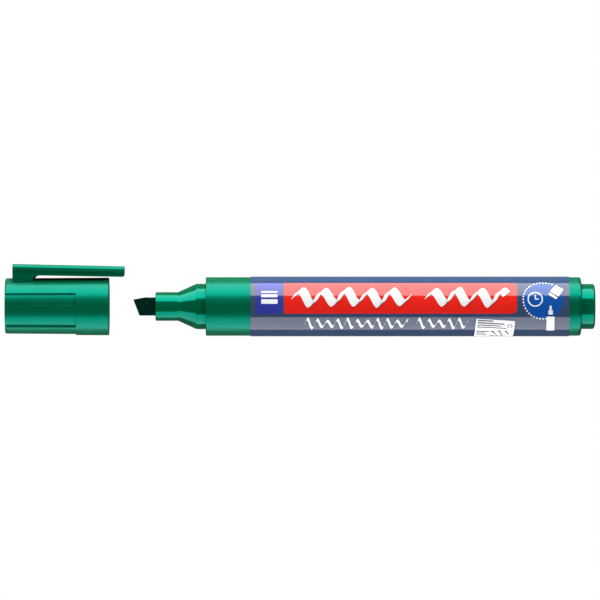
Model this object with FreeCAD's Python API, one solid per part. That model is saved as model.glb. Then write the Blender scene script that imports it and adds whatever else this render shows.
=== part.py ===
# Whiteboard marker with its cap drawn off, lying along X. Units are millimetres.
# The writing end points to -X, and the cap's clip points up, to +Z.
# The origin is on the axis, at the middle of the printed sleeve.

import FreeCAD, Part
import math
import os

V = FreeCAD.Vector
AXIS = V(1, 0, 0)
ORIGIN = V(0, 0, 0)

# barrel, and the printed film sleeve round it
sleeve_radius = 8.40
sleeve_length = 89.6
barrel_radius = 8.235
barrel_bore = 7.12
barrel_edge = 0.35           # rounding of the shoulder's rim
front_band = 12.55           # bare barrel between the shoulder and the sleeve
rear_band = 2.5              # bare barrel behind the sleeve

# nib holder, from its tip back to the shoulder
neck_radius = 4.03
neck_length = 6.31
neck_edge = 0.3
cone_length = 5.15
collar_radius = 6.37
collar_length = 2.68
bead_height = 0.10           # snap bead that the cap's mouth clicks over
holder_spigot_radius = 6.90
holder_spigot_length = 9.0
chamber_radius = 5.9
throat_radius = 3.3

# chisel nib
nib_height = 5.12
nib_thickness = 3.6
nib_corner = 0.9
nib_reach = 6.5              # from the holder's tip to the long corner
nib_slant = 1.97             # how far the short corner stands back from the long one
nib_edge = 1.0               # thickness left at the writing edge
nib_length = 37.0
nib_clearance = 0.04

# ink reservoir
core_radius = 6.50
wrap_thickness = 0.10
reservoir_gap = 0.2          # air left in front of and behind the fibre core
rib_count = 6
rib_width = 0.9

# end plug
plug_radius = 8.22
plug_step = 1.0              # length of the flange behind the barrel
plug_spigot_radius = 6.33
plug_spigot_length = 3.8
plug_skirt = 9.0             # length of the part inside the barrel
plug_wall = 1.0
plug_dish_radius = 3.8

# cap
cap_travel = 27.2            # from where the cap lies to where its mouth meets the shoulder
cap_length = 29.2
cap_mouth_radius = 8.12
cap_end_radius = 7.94
cap_bore = 6.53
cap_deep_bore = 6.40
cap_mouth_depth = 9.0        # length of the wider bore at the mouth
cap_end_wall = 1.3
cap_end_edge = 0.6
cap_mouth_edge = 0.25
flute_depth = 0.55
flute_stop = 9.25            # plain band between the flutes and the mouth
side_flutes = ((62, 88), (112, 138))     # degrees round from the clip, on each side
bottom_flute = (164, 196)

# clip: heights above the axis come in pairs, at the root's start and at the clip's tip
root_start = 2.1             # lengths measured from the cap's closed end
root_end = 8.15
flex_line = 9.4              # where the arm starts to bend
clip_end = 33.5
clip_top = (11.95, 11.27)
clip_step = (10.05, 9.37)    # underside of the wide top strip
clip_under = (8.85, 8.30)    # underside of the side walls
strip_half_width = 4.6
web_half_width = 4.35
web_wall = 1.2
channel_roof = 0.15          # how far the channel's roof stands above the strip's underside
clip_crown = (1.25, 1.25)    # width and height of the arched sides of the clip's top
clip_tip_corner = 0.75
root_curve = 2.0             # inside corner between the root and the arm
root_rear_corner = 1.2       # rounding of the root's rear edges, seen from above
root_foot = 5.2              # height of the root's foot, sunk into the cap's wall

# inner seal of the cap
seal_bore = 4.09
seal_wall = 0.9
seal_lip = 8.3               # from the cap's mouth in to the seal's lip
seal_floor = 0.6
seal_ring_radius = 6.34
seal_ring_back = 4.2         # from the lip back to the guide ring

# stations along X
sleeve_front_x = -sleeve_length / 2
sleeve_rear_x = sleeve_length / 2
shoulder_x = sleeve_front_x - front_band
barrel_end_x = sleeve_rear_x + rear_band
plug_step_x = barrel_end_x + plug_step
plug_end_x = plug_step_x + plug_spigot_length
skirt_front_x = barrel_end_x - plug_skirt
cone_end_x = shoulder_x - collar_length
neck_end_x = cone_end_x - cone_length
holder_tip_x = neck_end_x - neck_length
holder_rear_x = shoulder_x + holder_spigot_length
nib_tip_x = holder_tip_x - nib_reach
nib_rear_x = nib_tip_x + nib_length
core_front_x = holder_rear_x + reservoir_gap
core_rear_x = skirt_front_x - reservoir_gap
mouth_x = shoulder_x - cap_travel
closed_x = mouth_x - cap_length
flex_x = closed_x + flex_line
tip_x = closed_x + clip_end
beyond = 1.0                 # how far cutting solids stick out past what they cut
wide = 20.0                  # half-width of cutting solids that cross the whole marker


def turned(start, *steps):
    """Solid of revolution about X. A step is a corner (x, r), or (through, end) for an arc."""
    here = V(start[0], 0, start[1])
    first = here
    edges = []
    for step in steps:
        if isinstance(step[0], tuple):
            through, end = (V(x, 0, r) for x, r in step)
            edges.append(Part.Arc(here, through, end).toShape())
        else:
            end = V(step[0], 0, step[1])
            edges.append(Part.makeLine(here, end))
        here = end
    edges.append(Part.makeLine(here, first))
    return Part.Face(Part.Wire(edges)).revolve(ORIGIN, AXIS, 360)


def disc(x0, x1, radius):
    return Part.makeCylinder(radius, x1 - x0, V(x0, 0, 0), AXIS)


def tube(x0, x1, outer, inner):
    return disc(x0, x1, outer).cut(disc(x0 - beyond, x1 + beyond, inner))


def block(x0, x1, y0, y1, z0, z1):
    return Part.makeBox(x1 - x0, y1 - y0, z1 - z0, V(x0, y0, z0))


def side_prism(outline, half_width):
    """Prism across the marker from (x, z) corners."""
    corners = [V(x, -half_width, z) for x, z in outline]
    return Part.Face(Part.makePolygon(corners + corners[:1])).extrude(V(0, 2 * half_width, 0))


def plan_prism(outline, half_height):
    """Upright prism from (x, y) corners."""
    corners = [V(x, y, -half_height) for x, y in outline]
    return Part.Face(Part.makePolygon(corners + corners[:1])).extrude(V(0, 0, 2 * half_height))


def spun(solid, degrees):
    """A copy turned about the marker's axis, from +Z towards -Y."""
    copy = solid.copy()
    copy.rotate(ORIGIN, AXIS, degrees)
    return copy


def rim(solid, x, radius):
    """The circular edges of this radius at x."""
    circles = [e for e in solid.Edges if isinstance(e.Curve, Part.Circle)]
    near = 0.01
    return [e for e in circles if abs(e.Curve.Center.x - x) < near and abs(e.Curve.Radius - radius) < near]


def rounded_bar(x0, x1, half_y, half_z, corner):
    """Bar along X with a rounded rectangle as its section."""
    bar = block(x0, x1, -half_y, half_y, -half_z, half_z)
    return bar.makeFillet(corner, [e for e in bar.Edges if abs(e.Length - (x1 - x0)) < 1e-6])


def barrel():
    shell = disc(shoulder_x, barrel_end_x, barrel_radius)
    shell = shell.makeFillet(barrel_edge, rim(shell, shoulder_x, barrel_radius))
    shell = shell.cut(disc(shoulder_x - beyond, holder_rear_x, holder_spigot_radius))
    shell = shell.cut(disc(holder_rear_x, barrel_end_x + beyond, barrel_bore))
    # ribs hold the reservoir clear of the wall, so that air can pass along it
    rib_top = core_radius + wrap_thickness + 0.02
    rib_root = barrel_bore + 0.3
    rib = block(core_front_x + 1, skirt_front_x - 1, -rib_width / 2, rib_width / 2, rib_top, rib_root)
    ribs = [spun(rib, 360 / rib_count * (number + 0.5)) for number in range(rib_count)]
    return shell.fuse(ribs).removeSplitter()


def barrel_sleeve():
    return tube(sleeve_front_x, sleeve_rear_x, sleeve_radius, barrel_radius)


def nib_passage(x0, x1):
    return rounded_bar(x0, x1, nib_thickness / 2 + nib_clearance, nib_height / 2 + nib_clearance, nib_corner)


def nib_holder():
    bead_x = shoulder_x - 1.4
    bead_flat = 0.2
    bead_ramp = 0.55
    bead_radius = collar_radius + bead_height
    holder = turned(
        (holder_tip_x, 0),
        (holder_tip_x, neck_radius),
        (neck_end_x, neck_radius),
        (cone_end_x, collar_radius),
        (bead_x - bead_ramp, collar_radius),
        (bead_x - bead_flat, bead_radius),
        (bead_x + bead_flat, bead_radius),
        (bead_x + bead_ramp, collar_radius),
        (shoulder_x, collar_radius),
        (shoulder_x, holder_spigot_radius),
        (holder_rear_x, holder_spigot_radius),
        (holder_rear_x, 0),
    )
    holder = holder.makeFillet(neck_edge, rim(holder, holder_tip_x, neck_radius))
    throat_x = neck_end_x + 1.5
    chamber_x = shoulder_x + 1.2
    chamber = turned(
        (throat_x, 0),
        (throat_x, throat_radius),
        (chamber_x, chamber_radius),
        (holder_rear_x + beyond, chamber_radius),
        (holder_rear_x + beyond, 0),
    )
    return holder.cut(chamber).cut(nib_passage(holder_tip_x - beyond, throat_x + beyond))


def nib():
    half_height = nib_height / 2
    bar = rounded_bar(nib_tip_x, nib_rear_x, nib_thickness / 2, half_height, nib_corner)
    # both broad faces run in to the writing edge
    wedge_start = holder_tip_x - 0.9
    for side in (1, -1):
        bar = bar.cut(plan_prism([
            (wedge_start, side * nib_thickness / 2),
            (nib_tip_x, side * nib_edge / 2),
            (nib_tip_x - beyond, side * nib_edge / 2),
            (nib_tip_x - beyond, side * wide),
            (wedge_start, side * wide),
        ], wide))
    # the writing edge slants, with its long corner up
    overshoot = nib_slant / nib_height * beyond
    bar = bar.cut(side_prism([
        (nib_tip_x - overshoot, half_height + beyond),
        (nib_tip_x + nib_slant + overshoot, -half_height - beyond),
        (nib_tip_x - wide, -half_height - beyond),
        (nib_tip_x - wide, half_height + beyond),
    ], wide))
    # the top edge dips a little towards the long corner
    dip_length = 3.4
    dip_depth = 0.6
    bar = bar.cut(side_prism([
        (nib_tip_x + dip_length, half_height),
        (nib_tip_x, half_height - dip_depth),
        (nib_tip_x - beyond, half_height - dip_depth),
        (nib_tip_x - beyond, half_height + beyond),
        (nib_tip_x + dip_length, half_height + beyond),
    ], wide))
    # the rear end is pointed, so that it presses into the fibre core
    point_x = nib_rear_x - 2.2
    point = turned(
        (point_x, 0),
        (point_x, nib_height),
        (nib_rear_x, 1.3),
        (nib_rear_x, 0),
    )
    shank = bar.cut(disc(point_x, nib_rear_x + beyond, wide))
    return shank.fuse(bar.common(point)).removeSplitter()


def ink_reservoir():
    core = disc(core_front_x, core_rear_x, core_radius)
    return core.cut(nib_passage(core_front_x - beyond, nib_rear_x + 0.3))


def reservoir_wrap():
    bare_end = 0.4
    return tube(core_front_x + bare_end, core_rear_x - bare_end, core_radius + wrap_thickness, core_radius)


def end_plug():
    flange_turn_x = plug_step_x - 0.75
    spigot_turn_x = plug_end_x - 0.45
    plug = turned(
        (skirt_front_x, 0),
        (skirt_front_x, barrel_bore),
        (barrel_end_x, barrel_bore),
        (barrel_end_x, plug_radius),
        (flange_turn_x, plug_radius),
        ((flange_turn_x + 0.43, plug_radius - 0.27), (flange_turn_x + 0.62, plug_radius - 0.95)),
        (plug_step_x, plug_spigot_radius),
        (spigot_turn_x, plug_spigot_radius),
        ((plug_end_x - 0.13, plug_spigot_radius - 0.42), (plug_end_x, plug_spigot_radius - 1.3)),
        (plug_end_x, 0),
    )
    plug = plug.makeFillet(plug_wall * 0.4, rim(plug, skirt_front_x, barrel_bore))
    skirt_bore = barrel_bore - plug_wall
    plug = plug.cut(disc(skirt_front_x - beyond, barrel_end_x - 0.2, skirt_bore))
    plug = plug.cut(disc(barrel_end_x - beyond, plug_end_x - plug_wall, plug_spigot_radius - plug_wall))
    # three fins stop the reservoir
    fin = block(skirt_front_x, barrel_end_x, -plug_wall / 2, plug_wall / 2, 0, skirt_bore + 0.3)
    plug = plug.fuse([spun(fin, 120 * number) for number in range(3)]).removeSplitter()
    dish_depth = 0.3
    gate_height = 0.18
    dish_x = plug_end_x - dish_depth
    plug = plug.cut(disc(dish_x, plug_end_x + beyond, plug_dish_radius))
    return plug.fuse(disc(dish_x - 0.1, dish_x + gate_height, 0.7)).removeSplitter()


def flute(start, end):
    """Cutter for one grip flute between two angles, in degrees round from the clip."""
    x0 = closed_x - beyond
    x1 = mouth_x - flute_stop
    floor = [(x0, cap_end_radius - flute_depth), (x1, cap_mouth_radius - flute_depth), (x1, wide), (x0, wide)]
    corners = [V(x, 0, radius) for x, radius in floor]
    face = Part.Face(Part.makePolygon(corners + corners[:1]))
    return spun(face.revolve(ORIGIN, AXIS, end - start), start)


def clip_height(pair, x):
    """A height that runs straight from the root's start to the clip's tip."""
    share = (x - closed_x - root_start) / (clip_end - root_start)
    return pair[0] + (pair[1] - pair[0]) * share


def clip_section(x, under):
    """Section of the clip: a crowned top strip over a narrower web."""
    top = clip_height(clip_top, x)
    step = clip_height(clip_step, x)
    side = strip_half_width
    web = web_half_width
    crown_width, crown_height = clip_crown
    crown_radius = (crown_width ** 2 + crown_height ** 2) / (2 * crown_height)
    corner_y = side - crown_width
    corner_z = top - crown_height
    middle = (math.asin(1 - crown_height / crown_radius) + math.pi / 2) / 2
    mid_y = corner_y + crown_radius * math.cos(middle)
    mid_z = top - crown_radius + crown_radius * math.sin(middle)
    left = Part.Arc(V(x, -side, corner_z), V(x, -mid_y, mid_z), V(x, -corner_y, top))
    right = Part.Arc(V(x, corner_y, top), V(x, mid_y, mid_z), V(x, side, corner_z))
    below = [
        V(x, side, corner_z), V(x, side, step), V(x, web, step), V(x, web, under),
        V(x, -web, under), V(x, -web, step), V(x, -side, step), V(x, -side, corner_z),
    ]
    straight = [Part.makeLine(a, b) for a, b in zip(below, below[1:])]
    return Part.Wire([left.toShape(), Part.makeLine(V(x, -corner_y, top), V(x, corner_y, top)),
                      right.toShape()] + straight)


def clip_channel(x0, x1):
    """The hollow between the clip's side walls."""
    roof = [(x, clip_height(clip_step, x) + channel_roof) for x in (x0, x1)]
    return side_prism(roof + [(x1, root_foot), (x0, root_foot)], web_half_width - web_wall)


def clip_arm():
    ends = [(x, clip_height(clip_under, x)) for x in (flex_x, tip_x)]
    arm = Part.makeLoft([clip_section(x, under) for x, under in ends], True, True)
    tip_wall = 1.3
    arm = arm.cut(clip_channel(flex_x - beyond, tip_x - tip_wall))
    under = clip_height(clip_under, tip_x)
    corner_x = tip_x - clip_tip_corner
    corner_z = under + clip_tip_corner
    square = block(corner_x, tip_x + beyond, -wide, wide, under - beyond, corner_z)
    pin = Part.makeCylinder(clip_tip_corner, 2 * wide, V(corner_x, -wide, corner_z), V(0, 1, 0))
    return arm.cut(square.cut(pin))


def clip_root():
    """Root block of the clip, up to the line where the arm starts to bend."""
    root_x = closed_x + root_start
    rear_x = closed_x + root_end
    ends = [(x, clip_height(clip_step, x) - channel_roof) for x in (root_x, flex_x)]
    strip = Part.makeLoft([clip_section(x, under) for x, under in ends], True, True)
    web = block(root_x, flex_x, -web_half_width, web_half_width, root_foot, clip_height(clip_step, flex_x))
    post = block(root_x, rear_x, -web_half_width, web_half_width, root_foot, clip_height(clip_step, flex_x))
    rear_edges = [e for e in post.Edges if abs(e.CenterOfMass.x - rear_x) < 1e-6
                  and abs(e.CenterOfMass.y) > web_half_width - 1e-6]
    post = post.makeFillet(root_rear_corner, rear_edges)
    # under the arm, the web's flat sides end where the post's rounding starts, in a curved corner
    under = clip_height(clip_under, flex_x)
    side_x = rear_x - root_rear_corner
    curve_x = side_x + root_curve
    curve_z = under - root_curve
    gap = block(curve_x, flex_x + beyond, -wide, wide, 0, under)
    gap = gap.fuse(block(side_x, curve_x + beyond, -wide, wide, 0, curve_z))
    gap = gap.fuse(Part.makeCylinder(root_curve, 2 * wide, V(curve_x, -wide, curve_z), V(0, 1, 0)))
    web = web.cut(gap).cut(clip_channel(curve_x, flex_x + beyond))
    return strip.cut(clip_channel(curve_x, flex_x + beyond)).fuse(web).fuse(post).removeSplitter()


def cap_shell():
    shell = turned(
        (closed_x, 0),
        (closed_x, cap_end_radius),
        (mouth_x, cap_mouth_radius),
        (mouth_x, 0),
    )
    shell = shell.makeFillet(cap_end_edge, rim(shell, closed_x, cap_end_radius))
    shell = shell.makeFillet(cap_mouth_edge, rim(shell, mouth_x, cap_mouth_radius))
    mirrored_flutes = [(360 - end, 360 - start) for start, end in side_flutes]
    for start, end in [*side_flutes, bottom_flute, *mirrored_flutes]:
        shell = shell.cut(flute(start, end))
    shell = shell.fuse(clip_root()).removeSplitter()
    shell = shell.cut(disc(mouth_x - cap_mouth_depth, mouth_x + beyond, cap_bore))
    shell = shell.cut(disc(closed_x + cap_end_wall, mouth_x, cap_deep_bore))
    lead_in = 0.35
    shell = shell.cut(turned(
        (mouth_x - lead_in, 0),
        (mouth_x - lead_in, cap_bore),
        (mouth_x, cap_bore + lead_in),
        (mouth_x + beyond, cap_bore + lead_in),
        (mouth_x + beyond, 0),
    ))
    dish_radius = 5.4
    dish_depth = 0.25
    gate_height = 0.12
    gate_radius = 0.8
    dish_x = closed_x + dish_depth
    shell = shell.cut(disc(closed_x - beyond, dish_x, dish_radius))
    return shell.fuse(disc(dish_x - gate_height, dish_x + 0.1, gate_radius)).removeSplitter()


def cap_seal():
    """Inner cup that closes on the holder's neck."""
    lip_x = mouth_x - seal_lip
    back_x = closed_x + cap_end_wall + 0.05
    floor_x = back_x + seal_floor
    base_x = back_x + 0.8
    wall_radius = seal_bore + seal_wall
    flare = 0.45
    lip_width = 0.9
    cup = turned(
        (back_x, 0),
        (back_x, seal_ring_radius),
        (base_x, seal_ring_radius),
        (base_x, wall_radius),
        (lip_x - lip_width, wall_radius),
        (lip_x, wall_radius + flare),
        (lip_x, wall_radius),
        (lip_x - lip_width, seal_bore),
        (floor_x, seal_bore),
        (floor_x, 0),
    )
    ring_x = lip_x - seal_ring_back
    sunk = 0.2
    ring = tube(ring_x, ring_x + 1.2, seal_ring_radius, wall_radius - sunk)
    rib = block(base_x - sunk, ring_x + sunk, -rib_width / 2, rib_width / 2, wall_radius - sunk,
                seal_ring_radius - sunk)
    ribs = [spun(rib, 360 / rib_count * number) for number in range(rib_count)]
    return cup.fuse([ring] + ribs).removeSplitter()


os.makedirs("parts", exist_ok=True)
for make in (barrel, barrel_sleeve, nib_holder, nib, ink_reservoir, reservoir_wrap, end_plug,
             cap_shell, cap_seal, clip_arm):
    shape = make()
    shape.exportStep("parts/" + make.__name__ + ".step")
    print(make.__name__, "solids", len(shape.Solids), "valid", shape.isValid(), "mm3", round(shape.Volume, 1))
for name, x in (("shoulder", shoulder_x), ("cap mouth", mouth_x), ("cap end", closed_x),
                ("nib tip", nib_tip_x), ("seal lip", mouth_x - seal_lip), ("clip bends", flex_x),
                ("clip tip", tip_x), ("plug step", plug_step_x), ("plug end", plug_end_x)):
    print(name, "at x", round(x, 3))
print("clip hinge height", round(clip_height(clip_top, flex_x), 3))
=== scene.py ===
import math
import bmesh
import bpy
from mathutils import Matrix, Vector, noise


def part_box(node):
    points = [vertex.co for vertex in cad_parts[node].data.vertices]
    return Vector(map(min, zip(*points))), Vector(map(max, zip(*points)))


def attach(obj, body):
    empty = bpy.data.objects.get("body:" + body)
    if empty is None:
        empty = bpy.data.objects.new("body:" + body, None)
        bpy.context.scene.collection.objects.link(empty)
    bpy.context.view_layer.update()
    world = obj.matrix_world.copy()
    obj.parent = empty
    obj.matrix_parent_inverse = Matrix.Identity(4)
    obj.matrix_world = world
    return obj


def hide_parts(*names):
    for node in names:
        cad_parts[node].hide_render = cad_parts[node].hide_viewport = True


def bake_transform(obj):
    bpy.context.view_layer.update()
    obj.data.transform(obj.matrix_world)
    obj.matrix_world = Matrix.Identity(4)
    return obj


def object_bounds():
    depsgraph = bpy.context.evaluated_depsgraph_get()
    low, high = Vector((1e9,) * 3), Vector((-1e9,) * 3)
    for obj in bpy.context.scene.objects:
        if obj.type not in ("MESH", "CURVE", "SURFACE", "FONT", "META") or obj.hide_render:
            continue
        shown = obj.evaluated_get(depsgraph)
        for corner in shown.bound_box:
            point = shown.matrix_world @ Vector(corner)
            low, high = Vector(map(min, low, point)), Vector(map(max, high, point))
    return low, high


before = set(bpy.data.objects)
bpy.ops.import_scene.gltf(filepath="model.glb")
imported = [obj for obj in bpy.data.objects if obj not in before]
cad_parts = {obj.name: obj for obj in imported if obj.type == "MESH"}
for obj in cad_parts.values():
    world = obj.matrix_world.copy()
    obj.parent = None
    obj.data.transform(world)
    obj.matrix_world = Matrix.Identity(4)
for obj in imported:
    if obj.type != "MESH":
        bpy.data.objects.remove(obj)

# Whiteboard marker lying along X, with its cap drawn off and the cap's clip up.
# Meshes are drawn in millimetres and brought to metres when they are finished.
scene = bpy.context.scene
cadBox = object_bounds()
mm = 0.001
mergeDistance = 0.0005
cutDistance = 0.0001             # for bisect_plane
wireBevel = dict(offset_type="OFFSET", profile=0.5, material=-1)
print("frame loaded", [tuple(round(v / mm, 2) for v in corner) for corner in cadBox])


def nodeBox(node):
    low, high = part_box(node)
    return low / mm, high / mm


# camera, light and floor

stageLook = {
    "cameraDistance": 2.2,
    "cameraShift": (-0.00004, 0.0, 0.00004),   # from the middle of the object's box
    "lens": 469.1,
    "sensorWidth": 36,
    "softboxDistance": 0.45,
    "upperSize": (1.2, 0.52),
    "upperAngle": 72,                        # from straight in front, upwards
    "lowerSize": (1.2, 0.51),
    "lowerAngle": -71.5,
    "upperPower": 7.1,
    "lowerPower": 4.0,
    "topFillAngle": 125,
    "topFillPower": 24.0,
    "lowFillAngle": -100,
    "lowFillPower": 34.0,
    "roomGrey": 0.13,
    "roomInGloss": 0.10,                     # what glossy surfaces see of the room
    "floorDrop": 0.62,
    "floorRadius": 6.0,
    "floorShade": 0.86,
    "floorRoughness": 0.8,
    "floorGlow": 0.62,
}


def buildStage():
    look = stageLook
    middle = (cadBox[0] + cadBox[1]) / 2
    middle.y = 0
    camera = bpy.data.objects.new("camera", bpy.data.cameras.new("camera"))
    camera.data.lens = look["lens"]
    camera.data.sensor_width = look["sensorWidth"]
    camera.location = middle + Vector(look["cameraShift"]) - Vector((0, look["cameraDistance"], 0))
    camera.rotation_euler = (math.pi / 2, 0, 0)
    scene.collection.objects.link(camera)
    scene.camera = camera

    def addSoftbox(name, angle, power, size, distance):
        light = bpy.data.lights.new(name, "AREA")
        light.shape = "RECTANGLE"
        light.size = size[0]
        light.size_y = size[1]
        light.energy = power
        holder = bpy.data.objects.new(name, light)
        turn = math.radians(angle)
        holder.location = middle + distance * Vector((0, -math.cos(turn), math.sin(turn)))
        aim = middle - holder.location
        holder.rotation_euler = aim.to_track_quat("-Z", "Y").to_euler()
        holder.visible_camera = False
        scene.collection.objects.link(holder)
        return holder

    near = look["softboxDistance"]
    addSoftbox("softboxUpper", look["upperAngle"], look["upperPower"], look["upperSize"], near)
    addSoftbox("softboxLower", look["lowerAngle"], look["lowerPower"], look["lowerSize"], near)
    fills = (("fillTop", look["topFillAngle"], look["topFillPower"]),
             ("fillLow", look["lowFillAngle"], look["lowFillPower"]))
    for name, angle, power in fills:
        fill = addSoftbox(name, angle, power, look["upperSize"], 2 * near)
        fill.visible_glossy = False          # soft light round the far side, with no highlight

    world = bpy.data.worlds.new("studio")
    scene.world = world
    world.use_nodes = True
    tree = world.node_tree
    room = tree.nodes["Background"]
    room.inputs["Color"].default_value = (1, 1, 1, 1)
    room.inputs["Strength"].default_value = look["roomGrey"]
    backdrop = tree.nodes.new("ShaderNodeBackground")
    backdrop.inputs["Color"].default_value = (1, 1, 1, 1)
    dimRoom = tree.nodes.new("ShaderNodeBackground")
    dimRoom.inputs["Color"].default_value = (1, 1, 1, 1)
    dimRoom.inputs["Strength"].default_value = look["roomInGloss"]
    rays = tree.nodes.new("ShaderNodeLightPath")
    indirect = tree.nodes.new("ShaderNodeMixShader")
    choose = tree.nodes.new("ShaderNodeMixShader")
    tree.links.new(rays.outputs["Is Glossy Ray"], indirect.inputs[0])
    tree.links.new(room.outputs[0], indirect.inputs[1])
    tree.links.new(dimRoom.outputs[0], indirect.inputs[2])
    tree.links.new(rays.outputs["Is Camera Ray"], choose.inputs[0])
    tree.links.new(indirect.outputs[0], choose.inputs[1])
    tree.links.new(backdrop.outputs[0], choose.inputs[2])
    tree.links.new(choose.outputs[0], tree.nodes["World Output"].inputs["Surface"])

    bm = bmesh.new()
    bmesh.ops.create_circle(bm, cap_ends=True, segments=96, radius=look["floorRadius"])
    bmesh.ops.translate(bm, vec=(middle.x, 0, middle.z - look["floorDrop"]), verts=bm.verts)
    mesh = bpy.data.meshes.new("floor")
    bm.to_mesh(mesh)
    bm.free()
    floor = bpy.data.objects.new("floor", mesh)
    scene.collection.objects.link(floor)
    paper = bpy.data.materials.new("palePaper")
    paper.use_nodes = True
    paperShader = paper.node_tree.nodes["Principled BSDF"]
    paperShader.inputs["Base Color"].default_value = (*[look["floorShade"]] * 3, 1)
    paperShader.inputs["Roughness"].default_value = look["floorRoughness"]
    paperShader.inputs["Emission Color"].default_value = (1, 1, 1, 1)
    paperShader.inputs["Emission Strength"].default_value = look["floorGlow"]
    floor.data.materials.append(paper)
    floor.visible_diffuse = False            # the floor stays out of the object's own light
    floor.visible_glossy = False
    scene.view_settings.view_transform = "Standard"


buildStage()
print("camera, light and floor ready")


# finishes

def makeFinish(name, look):
    # One finish: a cloudy change of shade, uneven roughness, a broad ripple and a fine grain.
    material = bpy.data.materials.new(name)
    material.use_nodes = True
    tree = material.node_tree
    join = tree.links.new
    shader = tree.nodes["Principled BSDF"]
    shader.inputs["IOR"].default_value = look.get("ior", 1.5)
    shader.inputs["Specular Tint"].default_value = (*look.get("glossTint", (1, 1, 1)), 1)
    shader.inputs["Specular IOR Level"].default_value = look.get("gloss", 0.5)
    place = tree.nodes.new("ShaderNodeTexCoord")
    mapping = tree.nodes.new("ShaderNodeMapping")
    mapping.inputs["Scale"].default_value = look.get("stretch", (1, 1, 1))
    join(place.outputs["Object"], mapping.inputs["Vector"])

    def addNoise(size, detail, source):
        texture = tree.nodes.new("ShaderNodeTexNoise")
        texture.inputs["Scale"].default_value = 1 / (size * mm)
        texture.inputs["Detail"].default_value = detail
        join(source, texture.inputs["Vector"])
        return texture.outputs["Fac"]

    shade = tree.nodes.new("ShaderNodeValToRGB")
    shade.color_ramp.elements[0].position = look.get("shadeStart", 0.32)
    shade.color_ramp.elements[0].color = (*look["colour"], 1)
    shade.color_ramp.elements[1].position = look.get("shadeEnd", 0.68)
    shade.color_ramp.elements[1].color = (*look["secondColour"], 1)
    join(addNoise(look["cloudSize"], 3, mapping.outputs["Vector"]), shade.inputs["Fac"])
    join(shade.outputs["Color"], shader.inputs["Base Color"])

    uneven = tree.nodes.new("ShaderNodeMapRange")
    uneven.inputs["From Min"].default_value = 0.3
    uneven.inputs["From Max"].default_value = 0.7
    uneven.inputs["To Min"].default_value = look["roughness"][0]
    uneven.inputs["To Max"].default_value = look["roughness"][1]
    join(addNoise(look["roughSize"], 4, mapping.outputs["Vector"]), uneven.inputs["Value"])
    join(uneven.outputs["Result"], shader.inputs["Roughness"])

    ripple = tree.nodes.new("ShaderNodeBump")
    ripple.inputs["Distance"].default_value = look["rippleHeight"] * mm
    ripple.inputs["Strength"].default_value = 1
    join(addNoise(look["rippleSize"], 1, place.outputs["Object"]), ripple.inputs["Height"])
    grain = tree.nodes.new("ShaderNodeBump")
    grain.inputs["Distance"].default_value = look["grainHeight"] * mm
    grain.inputs["Strength"].default_value = 1
    join(addNoise(look["grainSize"], 2, mapping.outputs["Vector"]), grain.inputs["Height"])
    join(ripple.outputs["Normal"], grain.inputs["Normal"])
    join(grain.outputs["Normal"], shader.inputs["Normal"])
    return material


greenTint = (0.0, 1.0, 0.76)

satinGreenLook = {
    "colour": (0.0, 0.086, 0.029),
    "secondColour": (0.0, 0.097, 0.035),
    "glossTint": greenTint,
    "ior": 2.0,
    "cloudSize": 6.0,
    "roughness": (0.30, 0.36),
    "roughSize": 2.5,
    "rippleSize": 9.0,
    "rippleHeight": 0.004,
    "grainSize": 0.12,
    "grainHeight": 0.004,
}

polishedGreenLook = {
    **satinGreenLook,
    "roughness": (0.10, 0.16),
    "roughSize": 1.6,
    "rippleSize": 5.0,
    "rippleHeight": 0.003,
    "grainSize": 0.3,
    "grainHeight": 0.0006,
}

slateFilmLook = {
    "colour": (0.030, 0.058, 0.130),
    "secondColour": (0.034, 0.063, 0.141),
    "ior": 1.7,
    "cloudSize": 8.0,
    "roughness": (0.06, 0.11),
    "roughSize": 3.0,
    "rippleSize": 7.0,
    "rippleHeight": 0.003,
    "grainSize": 0.25,
    "grainHeight": 0.0005,
}

feltLook = {
    "colour": (0.0, 0.010, 0.006),
    "secondColour": (0.008, 0.060, 0.042),
    "glossTint": (0.1, 1.0, 0.8),
    "shadeStart": 0.52,
    "shadeEnd": 0.80,
    "stretch": (0.22, 1, 1),
    "cloudSize": 0.22,
    "roughness": (0.55, 0.9),
    "roughSize": 0.5,
    "rippleSize": 0.9,
    "rippleHeight": 0.05,
    "grainSize": 0.10,
    "grainHeight": 0.04,
    "gloss": 0.12,
}

fibreLook = {
    **feltLook,
    "colour": (0.006, 0.14, 0.07),
    "secondColour": (0.02, 0.26, 0.14),
    "shadeStart": 0.35,
    "shadeEnd": 0.7,
    "stretch": (0.1, 1, 1),
    "cloudSize": 0.4,
}

wrapLook = {
    "colour": (0.55, 0.62, 0.58),
    "secondColour": (0.66, 0.70, 0.67),
    "cloudSize": 4.0,
    "roughness": (0.12, 0.24),
    "roughSize": 2.0,
    "stretch": (0.3, 1, 1),
    "rippleSize": 2.5,
    "rippleHeight": 0.03,
    "grainSize": 0.6,
    "grainHeight": 0.004,
}

naturalLook = {
    "colour": (0.58, 0.61, 0.56),
    "secondColour": (0.64, 0.67, 0.62),
    "cloudSize": 3.0,
    "roughness": (0.32, 0.42),
    "roughSize": 1.5,
    "rippleSize": 4.0,
    "rippleHeight": 0.004,
    "grainSize": 0.15,
    "grainHeight": 0.003,
}

satinGreen = makeFinish("satinGreen", satinGreenLook)
polishedGreen = makeFinish("polishedGreen", polishedGreenLook)
slateFilm = makeFinish("slateFilm", slateFilmLook)
nibFelt = makeFinish("nibFelt", feltLook)
reservoirFibre = makeFinish("reservoirFibre", fibreLook)
clearWrap = makeFinish("clearWrap", wrapLook)
naturalPlastic = makeFinish("naturalPlastic", naturalLook)


inkThinnest = 0.94               # shade where the ink lies thinnest
inkCloudSize = 1.8


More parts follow.
